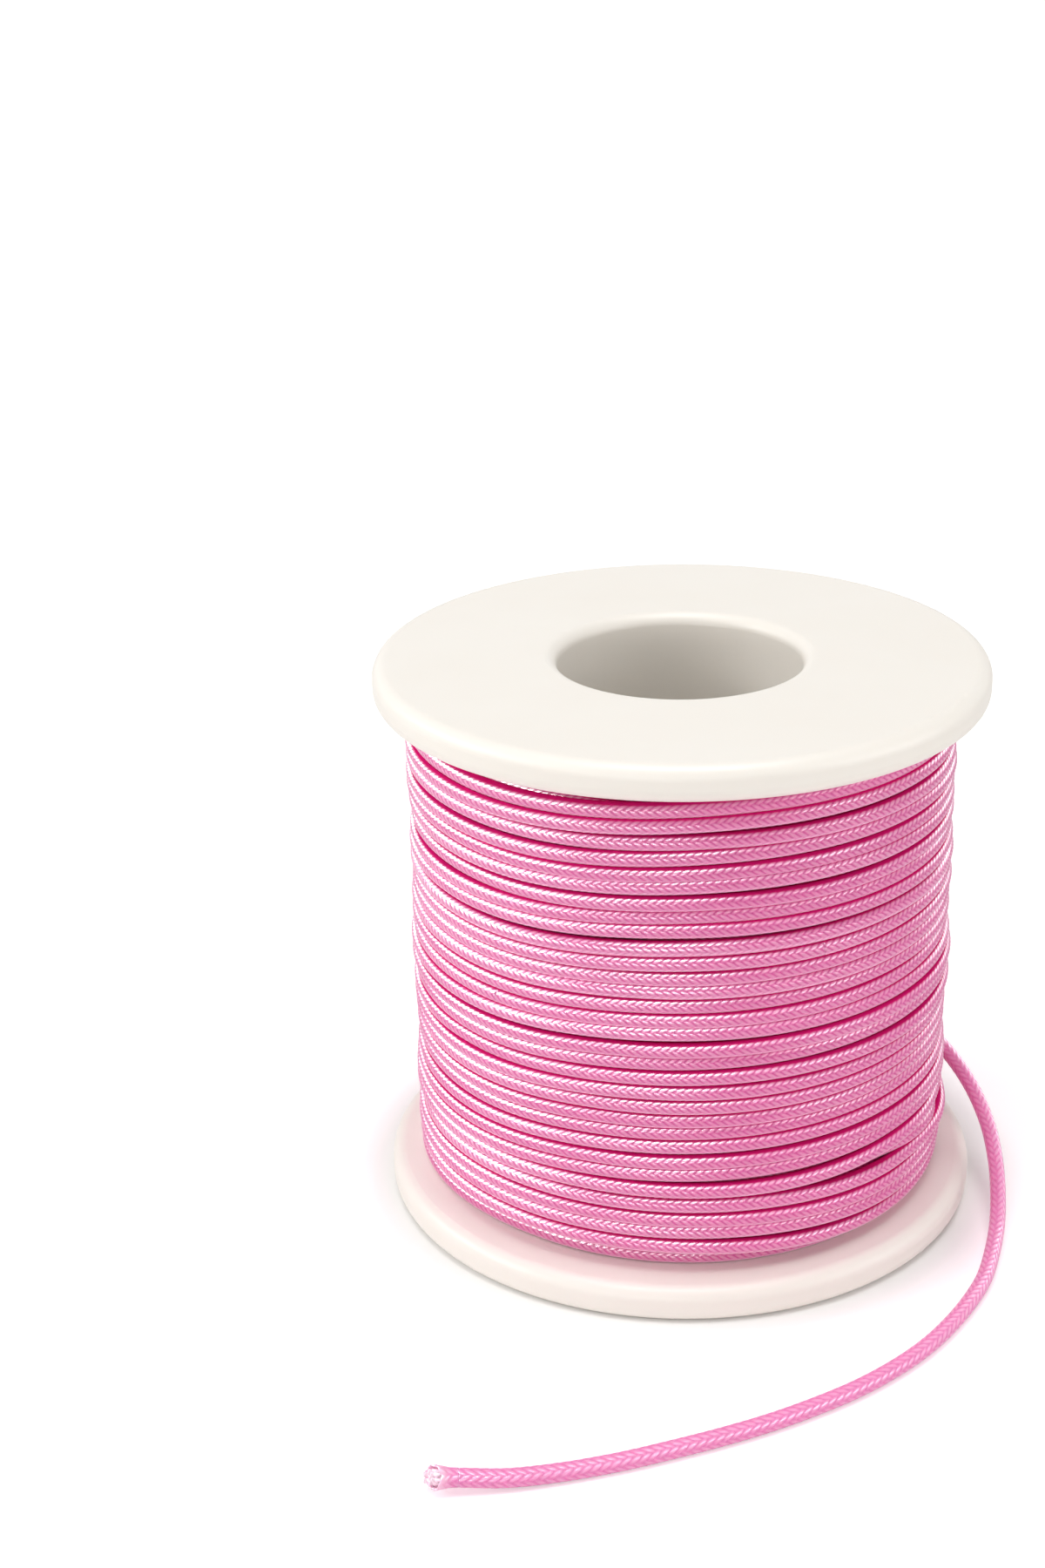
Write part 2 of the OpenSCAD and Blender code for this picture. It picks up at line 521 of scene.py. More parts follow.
    def line(self) -> tuple[CordLine, np.ndarray]:
        """Runs the relaxed cord out to where the loose end starts.

        Returns:
            Rings of the wound cord, ending at the loose end's first one, and the rings that
            end a pass.
        """
        height, radius, ends = self.relax()
        count = len(height)
        azimuth, out, level = self.leaving
        lift = smooth_step(np.arange(count), count - self.lift_turns * self.samples, count - 1)
        height += lift * (level - height)
        radius += lift * (out - radius)
        angle = azimuth + (count - 1 - np.arange(count)) * FULL_TURN / self.samples
        run = run_along(round_axis(radius, angle, height))
        step = self.braid.stitch / self.rings_per_stitch
        where = run[-1] - step * np.arange(int(run[-1] / step), -1, -1)
        angle, radius, height = (np.interp(where, run, v) for v in (angle, radius, height))
        rng = np.random.default_rng(self.seed + 1)
        twist = math.radians(self.twist[0]) * wander(rng, len(where), self.twist[1] / step)
        twist *= 1 - smooth_step(where, run[-1] - self.untwisted, run[-1])
        radial = np.stack([np.cos(angle), np.sin(angle), 0 * angle], -1)
        upward = np.broadcast_to([0.0, 0.0, 1.0], radial.shape)
        # The cord runs clockwise, so the radial direction crosses it into the axis
        outward = np.cos(twist)[:, None] * radial - np.sin(twist)[:, None] * upward
        points = round_axis(radius, angle, height)
        line = CordLine(points, outward, (where - run[-1]) / self.braid.stitch)
        return line, np.searchsorted(where, run[np.minimum(ends, count - 1)])

    def build(self, finish: Material, shaded: Material) -> tuple[list[Object], np.ndarray]:
        """Models the wound cord in stretches of a few turns.

        Args:
            finish: Material of the turns that are seen.
            shaded: Material of the turns beneath them, a darker copy as painted shade.

        Returns:
            The pieces that are seen, and the direction of column 0 where the loose end starts.
        """
        line, (bottom, top, leave) = self.line()
        level = line.points[:, 2]
        passed = bottom + int(np.argmax(level[bottom:top] > self.leaving[2] + self.overlap))
        turn = FULL_TURN * self.leaving[1] * self.rings_per_stitch / self.braid.stitch
        early = int(self.beside * turn)
        low, high = bottom - early, top - early
        half = (low + passed) // 2
        stretches = [(0, low, Cover.HIDDEN), (low, half, Cover.SEEN),
                     (half, passed, Cover.SEEN), (passed, high, Cover.HIDDEN)]
        outer = np.linspace(high, len(level) - 1, self.outer_pieces + 1).astype(int)
        stretches += [(start, end, Cover.SEEN) for start, end in zip(outer, outer[1:])]
        # Close corners from two columns above the outermost line to two below, then wide ones
        close = np.concatenate([np.arange(-2, 2.01, 0.25), [2.8, 3.6, 4.4, 5.2]])
        corners = {Cover.SEEN: close, Cover.HIDDEN: np.arange(0, self.braid.columns, 0.64)}
        shown = []
        for number, (start, end, cover) in enumerate(stretches, 1):
            columns = corners[cover]
            rows = np.unique(np.append(np.arange(start, end, cover.value), end))
            piece = line.rows(rows).sweep(f"wound_cord_{number}", self.braid, columns)
            dress(piece, finish if cover is Cover.SEEN else shaded, "braided_cord",
                  "cord_layer_8", "cord_layer_9")
            if cover is Cover.SEEN:
                shown.append(piece)
        log.info("last passes of the winding: %.2f m of cord", line.length() * MM)
        return shown, line.outward[-1]


# --- The loose end -----------------------------------------------------------------------------


@dataclass
class LooseEnd:
    """The cord's free stretch, off the side of the winding and round on the table.

    It leaves the winding as thick as the wound cord, and its braid opens towards the cut.

    Attributes:
        braid: Braid of the cord.
        route: Points of its middle line, from the winding to the cut, in millimetres.
        leg_steps: Steps of the smooth curve from one of those points to the next.
        diameter: Diameter where nothing presses it.
        open_diameter: Diameter at the cut.
        relaxed: Share of its length at which it has its free diameter.
        ring_step: Distance between two rings.
        corners_per_column: Corners of a ring to a column of the braid.
        stretch: Share by which a stitch is longer than in the winding.
        stretch_run: Length over which the stitches lengthen.
        path_step: Rings from one point of a path to the next; not used.
    """

    braid: Braid = field(default_factory=Braid)
    route: tuple = (
        (22.25, 16.8, 11.3), (24.75, 12.85, 11.1), (27.0, 8.95, 10.5), (29.1, 5.1, 9.4),
        (30.7, 1.3, 8.0), (31.8, -2.5, 6.2), (32.2, -6.4, 4.5), (32.1, -10.4, 3.0),
        (31.6, -14.5, 1.8), (30.7, -18.6, 1.25), (29.5, -22.7, 0.95), (27.7, -26.7, 0.9),
        (25.5, -30.5, 0.85), (22.9, -34.2, 0.85), (19.8, -37.6, 0.85), (16.3, -40.7, 0.85),
        (12.5, -43.4, 0.85), (8.4, -45.9, 0.85), (4.1, -48.1, 0.85), (-0.4, -50.1, 0.85),
        (-5.1, -52.0, 0.85), (-10.0, -53.6, 0.9), (-14.6, -54.8, 1.1), (-18.8, -55.4, 1.5),
    )
    leg_steps: int = 60
    diameter: float = 1.6
    open_diameter: float = 1.7
    relaxed: float = 0.4
    ring_step: float = 0.1
    corners_per_column: int = 6
    stretch: float = 0.16
    stretch_run: float = 12.0
    path_step: int = 5

    def leaving(self) -> tuple[float, float, float]:
        """Azimuth, radius and height of the route's first point."""
        x, y, z = self.route[0]
        return math.atan2(y, x), math.hypot(x, y), z

    def path(self) -> np.ndarray:
        """Runs a smooth curve through the route.

        Returns:
            Points a ring step apart, in millimetres.
        """
        route = np.array(self.route)
        route = np.vstack([2 * route[0] - route[1], route, 2 * route[-1] - route[-2]])
        u = np.linspace(0, 1, self.leg_steps, endpoint=False)[:, None]
        legs = []
        for a, b, c, d in zip(route, route[1:], route[2:], route[3:]):
            legs.append((2 * b + (c - a) * u + (2 * a - 5 * b + 4 * c - d) * u ** 2
                         + (3 * b - a - 3 * c + d) * u ** 3) / 2)
        dense = np.vstack([*legs, route[-2]])
        run = run_along(dense)
        where = np.linspace(0, run[-1], int(run[-1] / self.ring_step))
        return np.stack([np.interp(where, run, dense[:, i]) for i in range(3)], -1)

    def line(self, first_outward: np.ndarray) -> CordLine:
        """Carries the braid along the path without twisting it.

        Args:
            first_outward: Direction of column 0 at the end of the winding.

        Returns:
            Rings of the loose end.
        """
        points = self.path()
        along = unit(np.gradient(points, axis=0))
        outward = np.empty_like(points)
        current = first_outward
        for i, direction in enumerate(along):
            current = current - direction * (current @ direction)
            current = current / np.linalg.norm(current)
            outward[i] = current
        step = float(np.linalg.norm(points[1] - points[0]))
        run = step * np.arange(len(points))
        stitch = self.braid.stitch * (1 + self.stretch * smooth_step(run, 0, self.stretch_run))
        stitches = np.concatenate([[0], np.cumsum(step / stitch[1:])])
        return CordLine(points, outward, stitches)

    def build(self, finish: Material, line: CordLine) -> Object:
        """Models the loose end.

        Args:
            finish: Material of the cord.
            line: Rings of the loose end.

        Returns:
            The piece.
        """
        columns = np.arange(0, self.braid.columns, 1 / self.corners_per_column)
        free, opened = ((d - self.braid.diameter) / 2 for d in (self.diameter, self.open_diameter))
        share = np.linspace(0, 1, len(line.points))
        swell = np.interp(share, (0, self.relaxed, 1), (0, free, opened))
        piece = line.sweep("free_cord", self.braid, columns, swell)
        dress(piece, finish, "braided_cord", "loose_end")
        return piece

    def declare(self, line: CordLine) -> None:
        """Logs the loose end's real length.

        Args:
            line: Its rings.
        """
        round(line.length() * MM, 4)
        log.info("loose end: %.1f mm long", line.length())


@dataclass
class CutTip:
    """The cut end: the braid opens like a bell round its core yarns, and its edge frays.

    Attributes:
        line: Rings of the loose end that it finishes.
        start: Diameter of the loose end where it starts.
        braid: Braid of the cord.
        mouth: Diameter of the bell's mouth.
        length: Length of the bell.
        wall: Thickness of the braid at its mouth.
        depth: Depth of the open throat.
        throat: Diameter of the throat's floor, as a share of the start.
        oval: Share by which the mouth is wider one way than the other.
        ragged: Height of the edge's unevenness.
        slant: How far the cut lies back at one side of the mouth.
        towards: Direction in which the cut lies back.
        opened: Share by which a stitch is longer than in the winding.
        yarns: Core yarns, the last of them in the middle.
        yarn_diameter: Diameter of a core yarn.
        yarn_gap: Distance of the other yarns from the middle one, in yarn diameters.
        fibres: Frayed fibres around the edge.
        fibre_diameter: Diameter of a fibre, thicker than the real one so that it shows.
        seed: Seed of the ragged edge; the yarns and fibres take the one after it.
    """

    line: CordLine
    start: float
    braid: Braid = field(default_factory=Braid)
    mouth: float = 2.15
    length: float = 2.1
    wall: float = 0.2
    depth: float = 1.3
    throat: float = 0.62
    oval: float = 0.06
    ragged: float = 0.12
    slant: float = 0.6
    towards: tuple[float, float, float] = (0.0, -0.86, 0.5)
    opened: float = 0.2
    yarns: int = 7
    yarn_diameter: float = 0.46
    yarn_gap: float = 1.02
    fibres: int = 48
    fibre_diameter: float = 0.035
    seed: int = 5

    def spot(self) -> Matrix:
        """Finds the place of the tip.

        Returns:
            Its place in millimetres, with Z along the cord and X at column 0.
        """
        along = unit(self.line.points[-1] - self.line.points[-4])
        outward = unit(self.line.outward[-1] - along * (self.line.outward[-1] @ along))
        across = np.cross(along, outward)
        turn = Matrix([outward, across, along]).transposed().to_4x4()
        return Matrix.Translation(self.line.points[-1]) @ turn

    def set_back(self, x: float | np.ndarray, y: float | np.ndarray) -> float | np.ndarray:
        """Gives how far the slanted cut lies back at a place across the mouth.

        Args:
            x: Place along the tip's X.
            y: Place along the tip's Y.

        Returns:
            Length in millimetres.
        """
        lean = np.array(self.towards) @ np.array(self.spot())[:3, :2]
        return self.slant * (lean[0] * x + lean[1] * y) / (self.mouth / 2)

    def sleeve(self) -> Object:
        """Models the opened braid as a bell with a wall, a ragged edge and a closed throat.

        Returns:
            The piece.
        """
        rng = np.random.default_rng(self.seed)
        columns = np.arange(0, self.braid.columns, 1 / 6)
        angle = columns * FULL_TURN / self.braid.columns
        outside = np.linspace(0, self.length, 26)
        rise = smooth_step(outside / self.length, 0.1, 1.15) / 0.94
        bell = self.start / 2 + (self.mouth - self.start) / 2 * rise
        lip = np.linspace(0, math.pi, 7)[1:]
        inside = np.linspace(self.length, self.length - self.depth, 9)[1:]
        height = np.concatenate([outside, self.length + 0.3 * self.wall * np.sin(lip), inside])
        rim = bell[-1] - self.wall
        narrowing = smooth_step(self.length - inside, 0, self.depth)
        well = rim + (self.throat * self.start / 2 - rim) * narrowing
        radius = np.concatenate([bell, bell[-1] - self.wall / 2 * (1 - np.cos(lip)), well])
        stitches = self.line.stitches[-1] + height / (self.braid.stitch * (1 + self.opened))
        # The tows stand out in full outside, and half as far inside
        shown = np.concatenate([np.ones(len(outside)), np.linspace(1, 0.5, len(lip)),
                                np.full(len(inside), 0.5)])
        relief = self.braid.relief(stitches[:, None], columns[None]) - (
            self.braid.diameter / 2 - self.braid.core)
        widened = self.oval * smooth_step(height, 0.4, self.length)[:, None]
        reach = (radius[:, None] + relief * shown[:, None]) * (1 + widened * np.cos(2 * angle + 0.6))
        bends = np.linspace(0, FULL_TURN, 25)
        uneven = np.interp(angle, bends, rng.uniform(-1, 1, len(bends)), period=FULL_TURN)
        back = self.set_back(self.mouth / 2 * np.cos(angle), self.mouth / 2 * np.sin(angle))
        late = smooth_step(height, 0.5, self.length)[:, None]
        height = height[:, None] + (self.ragged * uneven - back) * late
        corners = round_axis(reach, angle, height)
        spot = np.array(self.spot())
        corners = corners @ spot[:3, :3].T + spot[:3, 3]
        return tube("opened_braid", corners, stitches, columns, self.braid.columns)

    def yarn(self) -> Object:
        """Models one core yarn's end along Z, its cut face at zero.

        Returns:
            The yarn, a millimetre to the unit.
        """
        bpy.ops.object.select_all(action="DESELECT")
        bpy.ops.mesh.primitive_cylinder_add(
            vertices=14, radius=self.yarn_diameter / 2, depth=self.depth,
            location=(0, 0, -self.depth / 2))
        yarn = bpy.context.active_object
        bpy.ops.object.mode_set(mode="EDIT")
        bpy.ops.mesh.select_all(action="SELECT")
        bpy.ops.mesh.bisect(plane_co=(0, 0, -0.3), plane_no=(0, 0, 1))
        bpy.ops.object.mode_set(mode="OBJECT")
        for face in yarn.data.polygons:
            face.select = face.normal.z > 0.9
        bpy.ops.object.mode_set(mode="EDIT")
        bpy.ops.mesh.select_mode(type="FACE")
        bpy.ops.mesh.bevel(offset=0.05, segments=2, affect="EDGES")
        bpy.ops.mesh.inset(thickness=0.06, depth=-0.05)
        bpy.ops.mesh.inset(thickness=0.04, depth=0.04)
        bpy.ops.object.mode_set(mode="OBJECT")
        return yarn

    def fibre(self) -> Object:
        """Models one loose fibre that rises along Z and bends towards X.

        Returns:
            The fibre, a millimetre to the unit.
        """
        bpy.ops.object.select_all(action="DESELECT")
        bpy.ops.mesh.primitive_cylinder_add(
            vertices=5, radius=self.fibre_diameter / 2, depth=0.2, location=(0, 0, 0.1))
        fibre = bpy.context.active_object
        for face in fibre.data.polygons:
            face.select = face.normal.z > 0.9
        bpy.ops.object.mode_set(mode="EDIT")
        bpy.ops.mesh.select_mode(type="FACE")
        for lean in (0.03, 0.07, 0.12):
            bpy.ops.mesh.extrude_region_move(TRANSFORM_OT_translate={"value": (lean, 0, 0.16)})
            bpy.ops.transform.resize(value=(0.75, 0.75, 1))
        bpy.ops.object.mode_set(mode="OBJECT")
        return fibre

    def copies(self, name: str, model: Object, places: list[Matrix]) -> Object:
        """Sets a copy of the model at each place and joins them.

        Args:
            name: Name of the joined piece.
            model: The piece that is copied, a millimetre to the unit.
            places: Place of each copy on the tip, in millimetres.

        Returns:
            The piece, in metres.
        """
        spot = Matrix.Scale(MM, 4) @ self.spot()
        bpy.ops.object.select_all(action="DESELECT")
        for place in places:
            copy = bpy.data.objects.new(name, model.data.copy())
            bpy.context.scene.collection.objects.link(copy)
            copy.data.transform(spot @ place)
            copy.select_set(True)
        bpy.context.view_layer.objects.active = copy
        bpy.ops.object.join()
        bpy.data.objects.remove(model)
        piece = bpy.context.active_object
        piece.name = name
        bpy.ops.object.shade_smooth_by_angle(angle=math.radians(50))
        return piece

    def build(self, cord: Material, cut: Material) -> list[Object]:
        """Models the cut end.

        Args:
            cord: Material of the braid.
            cut: Material of the bare fibres.

        Returns:
            The pieces.
        """
        rng = np.random.default_rng(self.seed + 1)
        yarns, fibres = [], []
        for number in range(self.yarns):
            angle = FULL_TURN * number / (self.yarns - 1) + 0.4
            out = 0 if number == self.yarns - 1 else self.yarn_diameter * self.yarn_gap
            x, y = out * math.cos(angle), out * math.sin(angle)
            height = self.length - rng.uniform(0.0, 0.3) - self.set_back(x, y)
            tilt = Matrix.Rotation(rng.uniform(-0.12, 0.12), 4, "X") @ Matrix.Rotation(
                rng.uniform(-0.12, 0.12), 4, "Y")
            yarns.append(Matrix.Translation((x, y, height)) @ tilt)
        for number in range(self.fibres):
            angle = FULL_TURN * (number + rng.uniform(-0.5, 0.5)) / self.fibres
            out = rng.uniform(0.5, 0.95) * self.mouth / 2
            back = self.set_back(out * math.cos(angle), out * math.sin(angle))
            lift = Matrix.Translation((out, 0, self.length - back - rng.uniform(0.15, 0.4)))
            tilt = Matrix.Rotation(rng.normal(0.1, 0.4), 4, "Y") @ Matrix.Rotation(
                rng.uniform(0, FULL_TURN), 4, "Z")
            size = Matrix.Scale(rng.uniform(0.4, 0.9), 4)
            fibres.append(Matrix.Rotation(angle, 4, "Z") @ lift @ tilt @ size)
        sleeve = self.sleeve()
        core = self.copies("core_yarns", self.yarn(), yarns)
        fray = self.copies("frayed_fibres", self.fibre(), fibres)
        for piece, finish in ((sleeve, cord), (core, cut), (fray, cut)):
            dress(piece, finish, "cut_fibre", "cut_tip")
        return [sleeve, core, fray]


# --- Finishes ----------------------------------------------------------------------------------


class BraidMap(Enum):
    """Where a braided finish reads its place on the cord from."""

    WOUND = "the UV map of a cord with neighbours on either side"
    FREE = "the UV map of a cord with no neighbours"
    SPOOL = "the angle around the spool and the height along it"


@dataclass(frozen=True)
class WaxedPolyesterBraid:
    """Braided polyester filament, dyed, heat set and waxed.

    The tows catch the light one by one, the wax joins their glints into bright dashes, and light
    that gets in between the filaments comes out a deeper pink. The pits between the tows are painted
    darker as shade. Where a wound cord lies against its neighbours it mirrors nothing and is painted
    a deep pink as shade, and its lower side is painted paler as a highlight.

    Attributes:
        name: Name of the material, less the place that its pattern follows.
        crown: Dye on the back of a tow.
        side: Dye on the flank of a tow, a little darker as painted shade.
        pit: Dye between the tows, darker as painted shade.
        hidden: Painted shade, a deep pink where a wound cord lies against its neighbours.
        lower_highlight: Painted highlight, a paler pink on the lower side of a wound cord.
        crushed: Pale fibre at the cut.
        roughness: Roughness of the tows, which varies with the filaments.
        ior: Index of the polyester.
        wax: Weight of the coat of wax on the backs of the tows.
        wax_roughness: Roughness of that coat.
        wax_ior: Index of the wax.
        mirror: Specular level on the backs of the tows.
        waxed: Level of a tow at which the wax starts, and the one from which it is whole, where
            a pit is 0 and a back is 1.
        least_wax: Share of the wax in the pits.
        patch: Stitches over which the wax comes and goes along the cord.
        exposed: Columns to either side of its middle within which a wound cord is bare, and
            beyond which it is covered.
        lowered: Columns by which that middle lies below the outermost line.
        filaments: Filaments drawn across a tow, fewer than the real ones so that they show.
        thread: Depth of the filaments' relief in millimetres.
        fuzz: Sheen of the filaments that stand out.
        glow: Share of the light that goes through the fibre.
        glow_depth: Depth that it reaches in millimetres.
        braid: Braid of the cord.
    """

    name: str = "polyester_braid_waxed"
    crown: str = "#E27DAF"
    side: str = "#DC6EA5"
    pit: str = "#CA4C8E"
    hidden: str = "#CC196C"
    lower_highlight: str = "#F7B6D6"
    crushed: str = "#F3C3D8"
    roughness: float = 0.36
    ior: float = 1.68
    wax: float = 1.0
    wax_roughness: float = 0.3
    wax_ior: float = 1.5
    mirror: float = 0.5
    waxed: tuple[float, float] = (0.6, 0.88)
    least_wax: float = 0.12
    patch: float = 100 / 3
    exposed: tuple[float, float] = (1.45, 1.9)
    lowered: float = 0.4
    filaments: float = 9.0
    thread: float = 0.015
    fuzz: float = 0.3
    glow: float = 0.25
    glow_depth: float = 0.5
    braid: Braid = field(default_factory=Braid)

    def material(self, follows: BraidMap, fade: tuple[float, float] | None = None) -> Material:
        """Makes the material.

        Args:
            follows: Where the pattern reads its place on the cord.
            fade: Stitches between which the dye gives way to pale, crushed fibre.

        Returns:
            The material.
        """
        ending = "_cut" if fade else ""
        material, tree = new_material(f"{self.name}_{follows.name.lower()}{ending}")
        stitches, columns = self.place(tree, follows)
        height, streaks = self.tows(tree, stitches, columns)
        level = add_node(tree, "MapRange", [
            height, 0.0, self.braid.tow_bow + self.braid.tow_lift, 0.0, 1.0])
        colour = self.dye(tree, level, streaks)
        shown = add_node(tree, "MapRange", [level, *self.waxed, self.least_wax, 1.0])
        fuzz = self.fuzz
        if follows is BraidMap.WOUND:
            colour, bare = self.among_others(tree, columns, level, colour)
            shown = add_node(tree, "Math", [shown, bare], operation="MULTIPLY")
            # No fuzz is a plain 0 on the shader, not a link
            if self.fuzz:
                fuzz = add_node(tree, "Math", [bare, self.fuzz], operation="MULTIPLY")
        run = add_node(tree, "Math", [stitches, 1 / self.patch], operation="MULTIPLY")
        patches = add_node(tree, "TexNoise", {"W": run, "Scale": 1.0, "Detail": 1.0},
                           noise_dimensions="1D")
        patchy = add_node(tree, "MapRange", [patches, 0.35, 0.65, 0.6, 1.0])
        shown = add_node(tree, "Math", [shown, patchy], operation="MULTIPLY")
        wax, mirror = (add_node(tree, "Math", [shown, weight], operation="MULTIPLY")
                       for weight in (self.wax, self.mirror))
        if fade:
            bleach = add_node(tree, "MapRange", [stitches, *fade, 0.0, 0.8])
            colour = add_node(tree, "Mix", {"Factor": bleach, 6: colour, 7: linear(self.crushed)},
                              data_type="RGBA").outputs[2]
        gloss = add_node(tree, "MapRange", [
            streaks, 0.3, 0.7, self.roughness - 0.06, self.roughness + 0.08])
        relief = add_node(tree, "Bump", {"Height": height, "Strength": 0.25, "Distance": MM})
        threads = add_node(tree, "Bump", {
            "Height": streaks, "Strength": 0.5, "Distance": self.thread * MM, "Normal": relief})
        surface = add_node(tree, "BsdfPrincipled", {
            "Base Color": colour, "Roughness": gloss, "IOR": self.ior, "Normal": threads,
            "Specular IOR Level": mirror, "Coat Weight": wax, "Coat Roughness": self.wax_roughness,
            "Coat IOR": self.wax_ior, "Coat Normal": relief, "Sheen Weight": fuzz,
            "Sheen Roughness": 0.35, "Subsurface Weight": self.glow,
            "Subsurface Radius": (1.0, 0.3, 0.6), "Subsurface Scale": self.glow_depth * MM})
        add_node(tree, "OutputMaterial", {"Surface": surface})
        return material

    def place(self, tree: Tree, follows: BraidMap) -> tuple[Socket, Socket]:
        """Finds the place on the braid.

        Args:
            tree: The material's nodes.
            follows: Where the pattern reads its place on the cord.

        Returns:
            Sockets that hold the stitches along and the columns around.
        """
        where = add_node(tree, "TexCoord")
        if follows is not BraidMap.SPOOL:
            parts = add_node(tree, "SeparateXYZ", [where.outputs["UV"]])
            return parts.outputs[0], parts.outputs[1]
        parts = add_node(tree, "SeparateXYZ", [where.outputs["Object"]])
        x, y, z = parts.outputs
        angle = add_node(tree, "Math", [y, x], operation="ARCTAN2")
        flat = add_node(tree, "CombineXYZ", [x, y])
        radius = add_node(tree, "VectorMath", [flat], operation="LENGTH")
        run = add_node(tree, "Math", [angle, radius.outputs["Value"]], operation="MULTIPLY")
        stitches = add_node(tree, "Math", [run, self.braid.stitch * MM], operation="DIVIDE")
        # Half a turn of the cord, four columns, shows over one diameter of height
        around = add_node(tree, "Math", [z, self.braid.diameter * MM / 4], operation="DIVIDE")
        return stitches.outputs[0], around.outputs[0]

    def tows(self, tree: Tree, stitches: Socket, columns: Socket) -> tuple[Node, Node]:
        """Lays the tows over and under one another, as Braid.relief does, and draws their filaments.

        Args:
            tree: The material's nodes.
            stitches: Place along the cord.
            columns: Place around the cord.

        Returns:
            Height above the core in millimetres, and streaks along the filaments.
        """
        lines, bows = [], []
        for operation, start in (("SUBTRACT", 0.0), ("ADD", 0.5)):
            slanted = add_node(tree, "Math", [columns, stitches], operation=operation)
            line = add_node(tree, "Math", [slanted, start], operation="ADD")
            offset = add_node(tree, "Math", [line, 0.5, -0.5], operation="WRAP")
            share = add_node(tree, "Math", [offset, self.braid.tow_half], operation="DIVIDE")
            square = add_node(tree, "Math", [share, share], operation="MULTIPLY")
            rest = add_node(tree, "Math", [1.0, square], operation="SUBTRACT")
            bows.append(add_node(tree, "Math", [rest, self.braid.tow_bow], operation="MULTIPLY"))
            lines.append(line)
        turn = add_node(tree, "Math", [columns, math.pi], operation="MULTIPLY")
        wave = add_node(tree, "Math", [turn], operation="COSINE")
        lift = add_node(tree, "Math", [wave, self.braid.tow_lift], operation="MULTIPLY")
        first = add_node(tree, "Math", [bows[0], lift], operation="ADD")
        second = add_node(tree, "Math", [bows[1], lift], operation="SUBTRACT")
        height = add_node(tree, "Math", [first, second], operation="MAXIMUM")
        first_on_top = add_node(tree, "Math", [first, second], operation="GREATER_THAN")
        grains = []
        for across, along in (lines, lines[::-1]):
            fine = add_node(tree, "Math", [across, self.filaments], operation="MULTIPLY")
            grains.append(add_node(tree, "CombineXYZ", [fine, along]))
        grain = add_node(tree, "Mix", {"Factor": first_on_top, 4: grains[1], 5: grains[0]},
                         data_type="VECTOR").outputs[1]
        streaks = add_node(tree, "TexNoise", {
            "Vector": grain, "Scale": 1.0, "Detail": 2.0, "Roughness": 0.55})
        return height, streaks

    def dye(self, tree: Tree, level: Node, streaks: Node) -> Socket:
        """Dyes the tows, darker towards the pits as painted shade, and streaked by the filaments.

        Args:
            tree: The material's nodes.
            level: Level of the tows, 0 in a pit and 1 on a back.
            streaks: Streaks along the filaments.

        Returns:
            The colour.
        """
        # Painted shade: the ramp darkens the dye from the backs of the tows down to the pits
        tone = add_node(tree, "ValToRGB", [level])
        ramp = tone.color_ramp.elements
        ramp[0].position, ramp[0].color = 0.2, linear(self.pit)
        ramp[1].position, ramp[1].color = 0.95, linear(self.crown)
        middle = ramp.new(0.6)
        middle.color = linear(self.side)
        shade = add_node(tree, "MapRange", [streaks, 0.3, 0.7, 0.88, 1.08])
        return add_node(tree, "Mix", {"Factor": 1.0, 6: tone, 7: shade},
                        data_type="RGBA", blend_type="MULTIPLY").outputs[2]

    def among_others(self, tree: Tree, columns: Socket, level: Node,
                     colour: Socket) -> tuple[Socket, Node]:
        """Paints on a wound cord the shade where it lies against its neighbours, and a highlight on
        its lower side.

        Args:
            tree: The material's nodes.
            columns: Place around the cord, rising towards the upper flange.
            level: Level of the tows, 0 in a pit and 1 on a back.
            colour: Colour of the cord by itself.

        Returns:
            The colour, and a share that is 1 where the cord is bare and 0 where it is covered.
        """
        half = self.braid.columns / 2
        around = add_node(tree, "Math", [columns, half, -half], operation="WRAP")
        shifted = add_node(tree, "Math", [around, self.lowered], operation="ADD")
        aside = add_node(tree, "Math", [shifted], operation="ABSOLUTE")
        bare = add_node(tree, "MapRange", [aside, *self.exposed, 1.0, 0.0],
                        interpolation_type="SMOOTHSTEP")
        # Painted highlight: the lower side of the cord is painted paler, most on the backs of the
        # tows
        lower = add_node(tree, "MapRange", [around, 0.0, -0.9, 0.0, 1.0],
                         interpolation_type="SMOOTHSTEP")
        backs_highlight_share = add_node(tree, "MapRange", [level, 0.2, 0.9, 0.45, 0.9])
        lower_highlight = add_node(tree, "Math", [lower, backs_highlight_share], operation="MULTIPLY")
        colour = add_node(tree, "Mix", {"Factor": lower_highlight, 6: colour, 7: linear(self.lower_highlight)},
                          data_type="RGBA").outputs[2]
        # Painted shade: where the cord lies against its neighbours its colour gives way to a deep
        # pink
        colour = add_node(tree, "Mix", {"Factor": bare, 6: linear(self.hidden), 7: colour},
                          data_type="RGBA").outputs[2]
        return colour, bare


